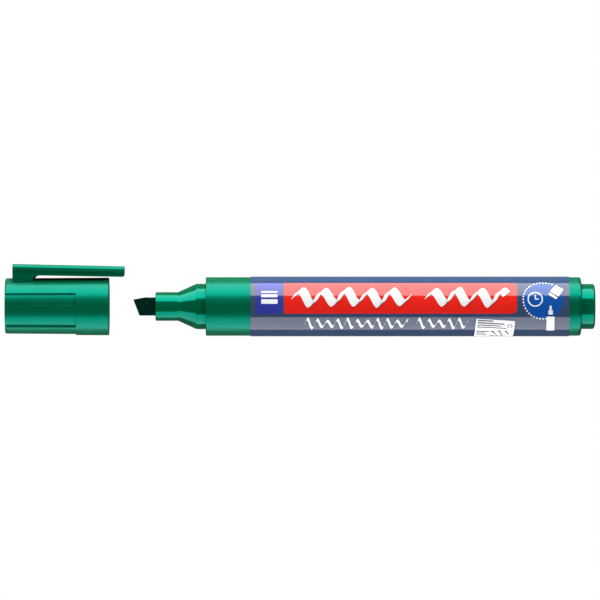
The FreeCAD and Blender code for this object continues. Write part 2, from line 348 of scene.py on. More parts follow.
def makeInk(name, colour):
    # printing ink under the same gloss as the sleeve, a little uneven in its cover
    second = tuple(part * inkThinnest for part in colour)
    inkLook = {**slateFilmLook, "colour": colour, "secondColour": second, "cloudSize": inkCloudSize}
    return makeFinish(name, inkLook)


inks = {
    "Red": makeInk("inkRed", (0.83, 0.0125, 0.005)),
    "Blue": makeInk("inkBlue", (0.028, 0.039, 0.36)),
    "Navy": makeInk("inkNavy", (0.022, 0.028, 0.21)),
    "Maroon": makeInk("inkMaroon", (0.25, 0.011, 0.017)),
    "White": makeInk("inkWhite", (0.90, 0.92, 0.93)),
    "Dark": makeInk("inkDark", (0.010, 0.011, 0.024)),
    "Grey": makeInk("inkGrey", (0.045, 0.045, 0.085)),
    "Cobalt": makeInk("inkCobalt", (0.0, 0.078, 0.38)),
}
print("finishes ready")


# mesh helpers

def drawOutline(bm, corners, closed=True):
    # A corner is (x, height), or (x, height, rounding). The outline stands in the XZ plane.
    points = [bm.verts.new((corner[0], 0, corner[1])) for corner in corners]
    for here, there in zip(points, points[1:]):
        bm.edges.new((here, there))
    if closed:
        bm.edges.new((points[-1], points[0]))
    for point, corner in zip(points, corners):
        if len(corner) > 2:
            bmesh.ops.bevel(bm, geom=[point], offset=corner[2], affect="VERTICES", segments=6,
                            **wireBevel)


def widen(bm, half):
    # Fills a side outline and gives it its width, the same on both sides of the middle.
    side = bmesh.ops.contextual_create(bm, geom=bm.edges[:])["faces"]
    bmesh.ops.translate(bm, vec=(0, -half, 0), verts=bm.verts)
    grown = bmesh.ops.extrude_face_region(bm, geom=side)["geom"]
    far = [part for part in grown if isinstance(part, bmesh.types.BMVert)]
    bmesh.ops.translate(bm, vec=(0, 2 * half, 0), verts=far)
    bmesh.ops.recalc_face_normals(bm, faces=bm.faces)


def isLong(edge):
    return abs(edge.verts[0].co.x - edge.verts[1].co.x) > 10


def onSide(edge, half):
    return all(abs(abs(vert.co.y) - half) < 0.001 for vert in edge.verts) \
        and edge.verts[0].co.y * edge.verts[1].co.y > 0


def edgeTop(edge):
    return max(vert.co.z for vert in edge.verts)


def edgeMiddle(edge):
    return (edge.verts[0].co + edge.verts[1].co) / 2


def cleanMesh(bm):
    bmesh.ops.remove_doubles(bm, verts=bm.verts, dist=mergeDistance)
    bmesh.ops.recalc_face_normals(bm, faces=bm.faces)


def spinOutline(corners, closed=True, steps=144):
    bm = bmesh.new()
    drawOutline(bm, corners, closed)
    bmesh.ops.spin(bm, geom=bm.verts[:] + bm.edges[:], cent=(0, 0, 0), axis=(1, 0, 0),
                   angle=math.tau, steps=steps, use_merge=True)
    cleanMesh(bm)
    return bm


def makeBox(low, high):
    bm = bmesh.new()
    bmesh.ops.create_cube(bm, size=1)
    low = Vector(low)
    high = Vector(high)
    bmesh.ops.scale(bm, vec=high - low, verts=bm.verts)
    bmesh.ops.translate(bm, vec=(low + high) / 2, verts=bm.verts)
    return bm


def bevelEdges(bm, edges, offset, segments):
    bmesh.ops.bevel(bm, geom=edges, offset=offset, affect="EDGES", segments=segments,
                    clamp_overlap=True, **wireBevel)


def passThrough(bm, change):
    # Hangs the mesh on a passing object, lets change() put a modifier on it and reads it back.
    mesh = bpy.data.meshes.new("passing")
    bm.to_mesh(mesh)
    bm.free()
    holder = bpy.data.objects.new("passing", mesh)
    scene.collection.objects.link(holder)
    change(holder)
    bpy.context.view_layer.update()
    shaped = holder.evaluated_get(bpy.context.evaluated_depsgraph_get())
    result = bmesh.new()
    result.from_mesh(shaped.to_mesh())
    bpy.data.objects.remove(holder)
    return result


def combine(bm, tool, operation):
    toolMesh = bpy.data.meshes.new("passingTool")
    tool.to_mesh(toolMesh)
    tool.free()
    toolHolder = bpy.data.objects.new("passingTool", toolMesh)
    scene.collection.objects.link(toolHolder)

    def addBoolean(holder):
        boolean = holder.modifiers.new("combine", "BOOLEAN")
        boolean.operation = operation
        boolean.solver = "EXACT"
        boolean.object = toolHolder

    result = passThrough(bm, addBoolean)
    bpy.data.objects.remove(toolHolder)
    cleanMesh(result)
    return result


def makePiece(name, bm, material, body, nodes=(), sharpAngle=32):
    bmesh.ops.scale(bm, vec=(mm, mm, mm), verts=bm.verts)
    mesh = bpy.data.meshes.new(name)
    bm.to_mesh(mesh)
    bm.free()
    mesh.shade_smooth()
    mesh.set_sharp_from_angle(angle=math.radians(sharpAngle))
    mesh.materials.append(material)
    piece = bpy.data.objects.new(name, mesh)
    scene.collection.objects.link(piece)
    if body:
        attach(piece, body)
    if nodes:
        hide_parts(*nodes)
    print(name, len(mesh.polygons), "faces")
    return piece


def smoothShare(value):
    value = min(max(value, 0.0), 1.0)
    return value * value * (3 - 2 * value)


# barrel and its printed sleeve

barrelSize = {
    "shoulderRounding": 0.35,
    "rearRounding": 0.06,
    "holderSeat": 6.92,          # bore at the nib holder
    "holderSeatLength": 9.0,
    "bore": 7.12,
}

sleeveSize = {
    "gap": 0.002,                # between the film and the barrel
    "edgeRounding": 0.05,
    "seamWidth": 3.0,
    "seamHeight": 0.03,
    "seamShort": 0.1,            # how much shorter the seam is than the film
    "sliceWidth": 0.4,           # the print is sliced this fine before it is rolled round
    "printSunk": 0.01,
}

barrelLow, barrelHigh = nodeBox("barrel")
sleeveLow, sleeveHigh = nodeBox("barrel_sleeve")
barrelRadius = barrelHigh.z
sleeveRadius = sleeveHigh.z


def buildBarrel():
    size = barrelSize
    seatEnd = barrelLow.x + size["holderSeatLength"]
    bm = spinOutline([
        (barrelLow.x, size["holderSeat"]),
        (barrelLow.x, barrelRadius, size["shoulderRounding"]),
        (barrelHigh.x, barrelRadius, size["rearRounding"]),
        (barrelHigh.x, size["bore"]),
        (seatEnd, size["bore"]),
        (seatEnd, size["holderSeat"]),
    ])
    makePiece("barrelShell", bm, satinGreen, "marker", ["barrel"])


def buildSleeve():
    size = sleeveSize
    inner = barrelRadius + size["gap"]
    bm = spinOutline([
        (sleeveLow.x, inner),
        (sleeveLow.x, sleeveRadius, size["edgeRounding"]),
        (sleeveHigh.x, sleeveRadius, size["edgeRounding"]),
        (sleeveHigh.x, inner),
    ])
    makePiece("sleeveFilm", bm, slateFilm, "marker", ["barrel_sleeve"])


buildBarrel()
buildSleeve()


# the sleeve's print: flat artwork in (x, s), where s runs up round the sleeve from the front line

def drawPatch(bm, x, s, width, height, corner=0.0, turn=0.0):
    place = Matrix.Translation((x, s, 0)) @ Matrix.Rotation(math.radians(turn), 4, "Z")
    place = place @ Matrix.Diagonal((width, height, 1, 1))
    made = bmesh.ops.create_grid(bm, x_segments=1, y_segments=1, size=0.5, matrix=place)
    if corner:
        bmesh.ops.bevel(bm, geom=made["verts"], offset=corner, affect="VERTICES", segments=5,
                        **wireBevel)


def drawDisc(bm, x, s, radius, segments=64):
    place = Matrix.Translation((x, s, 0))
    bmesh.ops.create_circle(bm, cap_ends=True, segments=segments, radius=radius, matrix=place)


def drawRing(bm, x, s, radius, width, segments=64):
    place = Matrix.Translation((x, s, 0))
    outer = bmesh.ops.create_circle(bm, segments=segments, radius=radius, matrix=place)
    inner = bmesh.ops.create_circle(bm, segments=segments, radius=radius - width, matrix=place)
    points = set(outer["verts"] + inner["verts"])
    edges = [edge for edge in bm.edges if edge.verts[0] in points and edge.verts[1] in points]
    bmesh.ops.bridge_loops(bm, edges=edges)


def drawStroke(bm, path, pen):
    # A straight pen edge, drawn along the path and held at one angle.
    start = Vector((*path[0], 0))
    edge = bm.edges.new((bm.verts.new(start - pen), bm.verts.new(start + pen)))
    for here, there in zip(path, path[1:]):
        grown = bmesh.ops.extrude_edge_only(bm, edges=[edge])["geom"]
        points = [part for part in grown if isinstance(part, bmesh.types.BMVert)]
        step = (there[0] - here[0], there[1] - here[1], 0)
        bmesh.ops.translate(bm, vec=step, verts=points)
        edge = bm.edges.get(points)


waveStep = 0.25
waveDrift = 0.61


def wavePath(start, end, middle, height, length, drift=0.0):
    # A drawn wave: its height changes a little from one swing to the next.
    count = round((end - start) / waveStep)
    path = []
    for number in range(count + 1):
        x = start + (end - start) * number / count
        swing = height * (1 + drift * math.sin(waveDrift * x))
        path.append((x, middle + swing * math.sin(math.tau * (x - start) / length)))
    return path


def rollOn(name, bm, ink, height):
    # Slices the flat artwork, gives it its thickness and rolls it round the sleeve.
    size = sleeveSize
    low = min(vert.co.y for vert in bm.verts)
    high = max(vert.co.y for vert in bm.verts)
    first = math.ceil(low / size["sliceWidth"])
    last = math.floor(high / size["sliceWidth"])
    for number in range(first, last + 1):
        bmesh.ops.bisect_plane(bm, geom=bm.verts[:] + bm.edges[:] + bm.faces[:], dist=cutDistance,
                               plane_co=(0, number * size["sliceWidth"], 0), plane_no=(0, 1, 0))
    top = bm.faces[:]
    grown = bmesh.ops.extrude_face_region(bm, geom=top)["geom"]
    sunk = [part for part in grown if isinstance(part, bmesh.types.BMVert)]
    bmesh.ops.translate(bm, vec=(0, 0, -height - size["printSunk"]), verts=sunk)
    for vert in bm.verts:
        angle = vert.co.y / sleeveRadius
        reach = sleeveRadius + height + vert.co.z
        vert.co = (vert.co.x, -reach * math.cos(angle), reach * math.sin(angle))
    cleanMesh(bm)
    makePiece(name, bm, ink, "marker")


labelArt = {
    "panelStart": -35.3,
    "panelEnd": 29.97,
    "panelMiddle": 2.73,
    "panelHeight": 9.51,
    "panelCorner": 1.35,
    "blockStart": -43.1,
    "blockEnd": -35.8,
    "barLength": 4.6,
    "barCorner": 0.15,
    "bars": ((1.5, 0.45), (0.25, 0.85), (-1.4, 1.3)),    # three line widths: place and thickness
    "broadRuns": ((-32.4, -0.4), (5.0, 27.0)),
    "broadMiddle": 2.8,
    "broadHeight": 2.05,
    "broadLength": 6.4,
    "broadDrift": 0.12,
    "penWidth": 2.6,
    "penAngle": 42,
    "shadowShift": (0.16, -0.14),
    "fineRuns": ((-29.5, -0.6), (1.8, 16.2)),
    "fineMiddle": -5.2,
    "fineHeight": 1.3,
    "fineLength": 2.8,
    "fineDrift": 0.25,
    "fineWidth": 0.95,
    "fineAngle": 70,
}

boardArt = {
    "place": (23.5, -8.1),
    "size": (11.7, 9.4),
    "turn": -4,
    "corner": 0.3,
    "sheetShift": (0.22, -0.12),
    "sheetMargin": (0.8, 0.75),
    "sheetCorner": 0.2,
    "textLeft": 1.1,
    "textTop": 3.75,
    "textStep": 0.76,
    "textThickness": 0.46,
    "textWidths": (4.4, 7.6, 6.6, 8.2),
    "ringPlace": (4.4, 2.3),
    "ring": (0.75, 0.3),         # radius and width
    "noteTop": -0.4,
    "noteStep": 0.85,
    "noteThickness": 0.42,
    "noteWidths": (3.4, 2.4, 3.0),
    "squiggles": ((-0.9, 4.6, -0.6, 0.6, 1.9), (-0.9, 3.4, -2.9, 0.5, 1.4)),
    "squiggleDrift": 0.5,
    "squigglePen": (0.55, 72),
}

fieldArt = {
    "place": (37.3, 2.0),
    "radius": 5.6,
    "dots": 40,
    "dotRadius": 0.24,
    "dotsIn": 0.02,
    "dotGap": (-1.3, 0.95),      # the two small drawings cross the edge here
    "clockShift": (-2.2, 0.1),
    "clock": (2.15, 0.34),
    "hand": 0.3,
    "longHand": 1.3,
    "longHandOut": 0.62,         # from the clock's middle to the hand's
    "shortHand": 1.0,
    "shortHandOut": 0.45,
    "capShift": (3.6, 2.3),
    "capTurn": 56,
    "capEdge": (4.3, 3.3, 0.5),  # width, height and corner
    "capFace": (3.8, 2.8, 0.4),
    "capLine": (0.36, 2.7),
    "capLineBack": 1.0,
    "penShift": 2.1,
    "penDrop": 7.3,
    "penEdge": (2.6, 5.3, 0.3),
    "penFace": (2.2, 4.9, 0.2),
    "neckDrop": 3.65,
    "neckFace": (1.25, 1.3, 0.15),
    "tipDrop": 2.35,
    "tipFace": (0.6, 1.2, 0.2),
}

backArt = {
    "middle": 20.9,              # the panel of small print, on the far side
    "rule": (-8, 56, 0.14),      # place along the film, length and thickness
    "lineStep": 0.75,
    "lineThickness": 0.24,
    "firstLine": 1.0,
    "upperLines": 4,
    "columnStart": -35.5,
    "columnStep": 19,
    "columnWidths": (13.0, 15.5, 11.5),
    "shortening": 1.3,
    "lowerLines": 3,
    "lowerWidth": 23,
    "lowerShortening": 3,
    "signX": 29.5,
    "signRing": (2.6, 0.3),
    "signDot": 0.8,
    "signStem": (1.4, 0.3, 1.3),     # drop, width and height
}

inkHeights = {"Red": 0.008, "Blue": 0.008, "Cobalt": 0.008, "Navy": 0.014, "Maroon": 0.014,
              "White": 0.020, "Dark": 0.026, "Grey": 0.026}


def penEdge(width, angle):
    turn = math.radians(angle)
    return Vector((math.cos(turn), math.sin(turn), 0)) * width / 2


def printPanel(layers):
    # red panel and the plain blue block beside it
    art = labelArt
    panelWidth = art["panelEnd"] - art["panelStart"]
    panelX = (art["panelEnd"] + art["panelStart"]) / 2
    drawPatch(layers["Red"], panelX, art["panelMiddle"], panelWidth, art["panelHeight"])
    ends = [vert for vert in layers["Red"].verts if vert.co.x > 0]
    bmesh.ops.bevel(layers["Red"], geom=ends, offset=art["panelCorner"], affect="VERTICES", segments=6,
                    **wireBevel)
    blockWidth = art["blockEnd"] - art["blockStart"]
    blockX = (art["blockEnd"] + art["blockStart"]) / 2
    drawPatch(layers["Blue"], blockX, art["panelMiddle"], blockWidth, art["panelHeight"])
    for lift, thick in art["bars"]:
        drawPatch(layers["White"], blockX, art["broadMiddle"] + lift, art["barLength"], thick,
                  art["barCorner"])

    # broad chisel strokes on the panel, with a narrow shadow, and a fine stroke under it
    pen = penEdge(art["penWidth"], art["penAngle"])
    shiftX, shiftS = art["shadowShift"]
    for start, end in art["broadRuns"]:
        path = wavePath(start, end, art["broadMiddle"], art["broadHeight"], art["broadLength"],
                        art["broadDrift"])
        drawStroke(layers["White"], path, pen)
        shadow = [(x + shiftX, s + shiftS) for x, s in path]
        drawStroke(layers["Maroon"], shadow, pen)
    finePen = penEdge(art["fineWidth"], art["fineAngle"])
    for start, end in art["fineRuns"]:
        path = wavePath(start, end, art["fineMiddle"], art["fineHeight"], art["fineLength"],
                        art["fineDrift"])
        drawStroke(layers["White"], path, finePen)


def printBoard(layers):
    # small picture of a written-on board
    art = boardArt
    boardX, boardS = art["place"]
    boardWidth, boardHeight = art["size"]
    boardTurn = math.radians(art["turn"])

    def onBoard(x, s):
        turned = Matrix.Rotation(boardTurn, 2) @ Vector((x, s))
        return boardX + turned.x, boardS + turned.y

    def writeLines(widths, top, step, thick):
        for number, width in enumerate(widths):
            left = art["textLeft"] - boardWidth / 2
            lineX, lineS = onBoard(left + width / 2, top - step * number)
            drawPatch(layers["Grey"], lineX, lineS, width, thick, 0.0, art["turn"])

    drawPatch(layers["Navy"], boardX, boardS, boardWidth, boardHeight, art["corner"], art["turn"])
    shiftX, shiftS = art["sheetShift"]
    marginX, marginS = art["sheetMargin"]
    drawPatch(layers["White"], boardX + shiftX, boardS + shiftS, boardWidth - marginX,
              boardHeight - marginS, art["sheetCorner"], art["turn"])
    writeLines(art["textWidths"], art["textTop"], art["textStep"], art["textThickness"])
    drawRing(layers["Grey"], *onBoard(*art["ringPlace"]), *art["ring"], 32)
    writeLines(art["noteWidths"], art["noteTop"], art["noteStep"], art["noteThickness"])
    for squiggle in art["squiggles"]:
        path = [onBoard(x, s) for x, s in wavePath(*squiggle, art["squiggleDrift"])]
        drawStroke(layers["Dark"], path, penEdge(*art["squigglePen"]))


def printField(layers):
    # round field with a clock and two small drawings of a cap and a marker
    art = fieldArt
    discX, discS = art["place"]
    drawDisc(layers["Cobalt"], discX, discS, art["radius"])
    gapStart, gapEnd = art["dotGap"]
    reach = art["radius"] - art["dotsIn"]
    for number in range(art["dots"]):
        angle = math.tau * number / art["dots"]
        if not gapStart < math.remainder(angle, math.tau) < gapEnd:
            dotX = discX + reach * math.cos(angle)
            dotS = discS + reach * math.sin(angle)
            drawDisc(layers["White"], dotX, dotS, art["dotRadius"], 12)
    clockX = discX + art["clockShift"][0]
    clockS = discS + art["clockShift"][1]
    hand = art["hand"]
    drawRing(layers["White"], clockX, clockS, *art["clock"], 48)
    drawPatch(layers["White"], clockX, clockS + art["longHandOut"], hand, art["longHand"])
    drawPatch(layers["White"], clockX + art["shortHandOut"], clockS, art["shortHand"], hand)

    capTurn = art["capTurn"]
    capX = discX + art["capShift"][0]
    capS = discS + art["capShift"][1]
    drawPatch(layers["Navy"], capX, capS, *art["capEdge"], capTurn)
    drawPatch(layers["White"], capX, capS, *art["capFace"], capTurn)
    lineX = capX - art["capLineBack"] * math.cos(math.radians(capTurn))
    lineS = capS - art["capLineBack"] * math.sin(math.radians(capTurn))
    drawPatch(layers["Dark"], lineX, lineS, *art["capLine"], 0.0, capTurn)
    penX = discX + art["penShift"]
    drawPatch(layers["Navy"], penX, discS - art["penDrop"], *art["penEdge"])
    drawPatch(layers["White"], penX, discS - art["penDrop"], *art["penFace"])
    drawPatch(layers["White"], penX, discS - art["neckDrop"], *art["neckFace"])
    drawPatch(layers["White"], penX, discS - art["tipDrop"], *art["tipFace"])


def printBack(layers):
    # panel of small print on the far side: plain lines stand for it
    art = backArt
    middle = art["middle"]
    ruleX, ruleLength, ruleThickness = art["rule"]
    drawPatch(layers["White"], ruleX, middle, ruleLength, ruleThickness)
    for number in range(art["upperLines"]):
        lineS = middle + art["firstLine"] + art["lineStep"] * number
        for column, width in enumerate(art["columnWidths"]):
            length = width - art["shortening"] * ((number + column) % 3)
            lineX = art["columnStart"] + art["columnStep"] * column + length / 2
            drawPatch(layers["White"], lineX, lineS, length, art["lineThickness"])
    for number in range(art["lowerLines"]):
        lineS = middle - art["firstLine"] - art["lineStep"] * number
        length = art["lowerWidth"] - art["lowerShortening"] * (number % 2)
        lineX = art["columnStart"] + length / 2
        drawPatch(layers["White"], lineX, lineS, length, art["lineThickness"])
    stemDrop, stemWidth, stemHeight = art["signStem"]
    drawRing(layers["White"], art["signX"], middle, *art["signRing"], 48)
    drawDisc(layers["White"], art["signX"], middle, art["signDot"], 32)
    drawPatch(layers["White"], art["signX"], middle - stemDrop, stemWidth, stemHeight)


def buildPrint():
    layers = {name: bmesh.new() for name in inks}
    printPanel(layers)
    printBoard(layers)
    printField(layers)
    printBack(layers)
    for name, bm in layers.items():
        rollOn("print" + name, bm, inks[name], inkHeights[name])

    seam = bmesh.new()
    size = sleeveSize
    seamLength = sleeveHigh.x - sleeveLow.x - size["seamShort"]
    drawPatch(seam, 0, math.pi * sleeveRadius, seamLength, size["seamWidth"])
    rollOn("sleeveSeam", seam, slateFilm, size["seamHeight"])


buildPrint()


# nib holder and nib

holderSize = {
    "neckRadius": 4.03,
    "neckLength": 6.31,
    "neckRounding": 0.3,
    "coneLength": 5.15,
    "collarRadius": 6.37,
    "beadBack": 1.4,             # from the shoulder to the snap bead
    "beadHeight": 0.10,
    "beadHalf": 0.45,
    "seatRadius": 6.90,
    "throatStart": 1.5,
    "throatRadius": 3.3,
    "chamberRadius": 5.9,
    "chamberStart": 1.2,
    "gap": 0.05,                 # round the nib
}

nibSize = {
    "corner": 0.9,
    "wedgeBack": 0.9,            # the wedge starts this far out of the holder
    "edge": 1.0,
    "slant": 1.97,
    "dipLength": 3.4,
    "dipDepth": 0.6,
    "voxel": 0.11,
    "smoothing": 0.5,
    "fuzz": 0.035,
    "fuzzGrain": (1.1, 4.2, 4.2),    # pressed fibres: long along the nib, short across it
    "fuzzMiddle": 0.35,
    "pointLength": 2.2,
    "pointRadius": 1.3,
}

holderLow, holderHigh = nodeBox("nib_holder")
nibLow, nibHigh = nodeBox("nib")


def roundedBar(low, high, corner):
    bm = makeBox(low, high)
    lengthwise = [edge for edge in bm.edges if abs(edge.verts[0].co.x - edge.verts[1].co.x) > 1]
    bevelEdges(bm, lengthwise, corner, 6)
    return bm


def buildHolder():
    size = holderSize
    shoulder = barrelLow.x
    tip = holderLow.x
    neckEnd = tip + size["neckLength"]
    coneEnd = neckEnd + size["coneLength"]
    bead = shoulder - size["beadBack"]
    beadRadius = size["collarRadius"] + size["beadHeight"]
    throat = neckEnd + size["throatStart"]
    chamber = shoulder + size["chamberStart"]
    bm = spinOutline([
        (tip, 0),
        (tip, size["neckRadius"], size["neckRounding"]),
        (neckEnd, size["neckRadius"], 0.12),
        (coneEnd, size["collarRadius"], 0.12),
        (bead - size["beadHalf"], size["collarRadius"], 0.08),
        (bead, beadRadius, 0.2),
        (bead + size["beadHalf"], size["collarRadius"], 0.08),
        (shoulder, size["collarRadius"]),
        (shoulder, size["seatRadius"]),
        (holderHigh.x, size["seatRadius"]),
        (holderHigh.x, size["chamberRadius"]),
        (chamber, size["chamberRadius"]),
        (throat, size["throatRadius"]),
        (throat, 0),
    ], closed=False)
    gap = size["gap"]
    passage = roundedBar(
        (tip - 2, nibLow.y - gap, nibLow.z - gap),
        (throat + 2, nibHigh.y + gap, nibHigh.z + gap),
        nibSize["corner"])
    bm = combine(bm, passage, "DIFFERENCE")
    makePiece("nibHolder", bm, polishedGreen, "marker", ["nib_holder"])


def cutAway(bm, point, normal):
    # Removes what lies on the normal's side of a plane and closes the cut.
    cut = bmesh.ops.bisect_plane(bm, geom=bm.verts[:] + bm.edges[:] + bm.faces[:], dist=cutDistance,
                                 plane_co=point, plane_no=normal, clear_outer=True)
    rim = [part for part in cut["geom_cut"] if isinstance(part, bmesh.types.BMEdge)]
    bmesh.ops.edgenet_fill(bm, edges=rim)


def buildNib():
    size = nibSize
    thick = nibHigh.y
    top = nibHigh.z
    tip = nibLow.x
    bm = roundedBar(nibLow, nibHigh, size["corner"])
    wedgeRun = holderLow.x - size["wedgeBack"] - tip
    wedgeRise = thick - size["edge"] / 2
    for side in (1, -1):
        cutAway(bm, (tip, side * size["edge"] / 2, 0), (-wedgeRise, side * wedgeRun, 0))
    cutAway(bm, (tip, 0, top - size["dipDepth"]), (-2 * top, 0, -size["slant"]))
    cutAway(bm, (tip, 0, top - size["dipDepth"]), (-size["dipDepth"], 0, size["dipLength"]))
    pointStart = nibHigh.x - size["pointLength"]
    for side in (1, -1):
        normal = (top - size["pointRadius"], 0, side * size["pointLength"])
        cutAway(bm, (pointStart, 0, side * top), normal)
    cleanMesh(bm)

    def addRemesh(holder):
        remesh = holder.modifiers.new("felt", "REMESH")
        remesh.mode = "VOXEL"
        remesh.voxel_size = size["voxel"]

    bm = passThrough(bm, addRemesh)
    bmesh.ops.smooth_vert(bm, verts=bm.verts, factor=size["smoothing"], use_axis_x=True,
                          use_axis_y=True, use_axis_z=True)
    bm.normal_update()
    grain = size["fuzzGrain"]
    for vert in bm.verts:
        place = Vector((vert.co.x * grain[0], vert.co.y * grain[1], vert.co.z * grain[2]))
        vert.co += vert.normal * size["fuzz"] * (noise.noise(place) - size["fuzzMiddle"])
    makePiece("nibFelt", bm, nibFelt, "marker", ["nib"], sharpAngle=80)


buildHolder()
buildNib()


# end plug

plugSize = {
    "skirtRadius": 7.12,
    "skirtBore": 6.12,
    "flange": 8.22,
    "flangeLength": 1.0,
    "flangeRounding": 0.434,
    "spigot": 6.33,
    "spigotBore": 5.33,
    "spigotEase": (0.42, 0.95),  # how far the spigot's end comes in, along and across
    "flangeEase": (0.3, 0.7),    # the same for the flange's outer face
    "flangeDish": 0.14,
    "boreStep": 0.2,
    "endWall": 1.0,
    "dishRadius": 3.8,
    "dishDepth": 0.3,
    "gateRadius": 0.7,
    "gateHeight": 0.18,
}

plugLow, plugHigh = nodeBox("end_plug")


def buildPlug():
    size = plugSize
    end = plugHigh.x
    flangeStart = barrelHigh.x
    step = flangeStart + size["flangeLength"]
    dish = end - size["dishDepth"]
    bm = spinOutline([
        (dish + size["gateHeight"], 0),
        (dish + size["gateHeight"], size["gateRadius"], 0.08),
        (dish, size["gateRadius"]),
        (dish, size["dishRadius"]),
        (end, size["dishRadius"], 0.08),
        (end, size["spigot"] - size["spigotEase"][1], 0.5),
        (end - size["spigotEase"][0], size["spigot"], 0.35),
        (step, size["spigot"], 0.12),
        (step - size["flangeDish"], size["flange"] - size["flangeEase"][1], 0.15),
        (step - size["flangeEase"][0], size["flange"], size["flangeRounding"]),
        (flangeStart, size["flange"]),
        (flangeStart, size["skirtRadius"]),
        (plugLow.x, size["skirtRadius"], 0.3),
        (plugLow.x, size["skirtBore"]),
        (flangeStart - size["boreStep"], size["skirtBore"]),
        (flangeStart - size["boreStep"], size["spigotBore"]),
        (end - size["endWall"], size["spigotBore"]),
        (end - size["endWall"], 0),
    ], closed=False)
    makePiece("endPlug", bm, polishedGreen, "marker", ["end_plug"])


buildPlug()


# cap: shell with grip flutes, clip and inner seal

capSize = {
    "endRadius": 7.94,
    "endRounding": 0.6,
    "mouthRounding": 0.25,
    "leadIn": 0.35,
    "bore": 6.53,
    "deepBore": 6.40,
    "mouthDepth": 9.0,
    "endWall": 1.3,
    "dishRadius": 5.4,
    "dishDepth": 0.25,
    "gateRadius": 0.8,
    "gateHeight": 0.12,
    "fluteDepth": 0.6,
    "fluteStop": 9.25,           # plain band between the flutes and the mouth
    "fluteRun": 0.13,            # how softly a flute's edge falls
    "steps": 720,
}
flutes = ((62, 88), (112, 138), (164, 196), (222, 248), (272, 298))   # degrees round from the clip

capLow, capHigh = nodeBox("cap_shell")
mouthX = capHigh.x
closedX = capLow.x
mouthRadius = -capLow.y


def capRadiusAt(x):
    share = (x - closedX) / (mouthX - closedX)
    return capSize["endRadius"] + (mouthRadius - capSize["endRadius"]) * share


def buildCap():
    size = capSize
    stop = mouthX - size["fluteStop"]
    dish = closedX + size["dishDepth"]
    run = size["fluteRun"]
    outer = [(x, capRadiusAt(x)) for x in (stop - run, stop - run * 0.66, stop - run * 0.33, stop)]
    deepEnd = mouthX - size["mouthDepth"]
    inside = closedX + size["endWall"]
    bm = spinOutline([
        (dish - size["gateHeight"], 0),
        (dish - size["gateHeight"], size["gateRadius"]),
        (dish, size["gateRadius"]),
        (dish, size["dishRadius"]),
        (closedX, size["dishRadius"], 0.06),
        (closedX, size["endRadius"], size["endRounding"]),
        *outer,
        (mouthX, mouthRadius, size["mouthRounding"]),
        (mouthX, size["bore"] + size["leadIn"]),
        (mouthX - size["leadIn"], size["bore"]),
        (deepEnd, size["bore"]),
        (deepEnd, size["deepBore"]),
        (inside, size["deepBore"]),
        (inside, 0),
    ], closed=False, steps=size["steps"])
    fall = math.degrees(run / mouthRadius)
    for vert in bm.verts:
        radius = math.hypot(vert.co.y, vert.co.z)
        if vert.co.x > stop or radius < size["deepBore"] + 0.3:
            continue
        angle = math.degrees(math.atan2(-vert.co.y, vert.co.z)) % 360
        along = smoothShare((stop - vert.co.x) / run)
        for start, end in flutes:
            across = smoothShare((angle - start) / fall) * smoothShare((end - angle) / fall)
            floor = capRadiusAt(vert.co.x) - size["fluteDepth"] * along * across
            if across > 0 and radius > floor:
                vert.co.y *= floor / radius
                vert.co.z *= floor / radius
    cleanMesh(bm)
    makePiece("capShell", bm, satinGreen, "cap", ["cap_shell"], sharpAngle=40)


clipSize = {
    "rootStart": 2.1,            # from the cap's closed end
    "rootEnd": 8.15,
    "flexLine": 9.4,
    "blendBack": 1.2,
    "blendLength": 8.0,
    "top": 11.95,
    "step": 10.05,
    "under": 8.85,
    "foot": 6.48,
    "topFall": 0.68,             # how far the top and the underside come down towards the tip
    "underFall": 0.54,
    "fallStart": 7.6,            # nothing below this height comes down
    "fallRise": 1.2,
    "stripHalf": 4.6,
    "webHalf": 4.35,
    "webWall": 1.2,
    "tipWall": 1.3,
    "crown": 1.25,               # rounding along the sides of the top
    "tipCorner": 0.75,
    "tipTopRounding": 0.3,
    "frontRounding": 0.3,
    "lap": 0.3,                  # how far web and post reach into the strip
    "inset": 0.02,               # keeps walls that would share a plane apart
    "rootTopRounding": 0.5,
    "underRounding": 0.36,
    "rootCurve": 2.2,
    "rootCorner": 1.2,
    "postCurve": 1.5,
    "postBack": 0.4,
    "postOver": 0.5,
    "postRise": 0.03,
    "channelRoof": 0.15,
    "edgeRounding": 0.35,
}

clipTipX = nodeBox("clip_arm")[1].x


